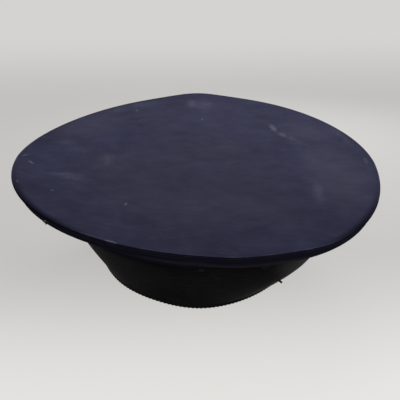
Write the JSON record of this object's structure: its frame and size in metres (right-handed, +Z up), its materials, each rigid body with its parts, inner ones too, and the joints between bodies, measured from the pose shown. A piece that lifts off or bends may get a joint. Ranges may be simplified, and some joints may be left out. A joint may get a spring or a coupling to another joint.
{
  "type": "peaked cap",
  "caption": "Peaked cap at rest on its peak and band: wide flat navy cloth crown over a welt, sloping cloth side panels, black ribbed band and plain black leather peak.",
  "frame": {"origin": "on the surface that the cap rests on, under the middle of its bounding box", "axes": "+Y towards the peak, +X towards the wearer's right, +Z up; the cap is tipped back as it rests on the peak's edge and the back of the band"},
  "size_m": [0.2846, 0.296, 0.1069],
  "materials": {
    "navy_cloth": "fine navy wool twill with a soft nap, a little worn",
    "black_mohair": "black ribbed mohair braid",
    "black_leather": "plain polished black leather"
  },
  "bodies": {
    "root": {"crown_top": "navy_cloth", "crown_welt": "navy_cloth", "panel_front_right": "navy_cloth", "panel_front_left": "navy_cloth", "panel_back_left": "navy_cloth", "panel_back_right": "navy_cloth", "band": "black_mohair", "peak": "black_leather"}
  },
  "joints": []
}
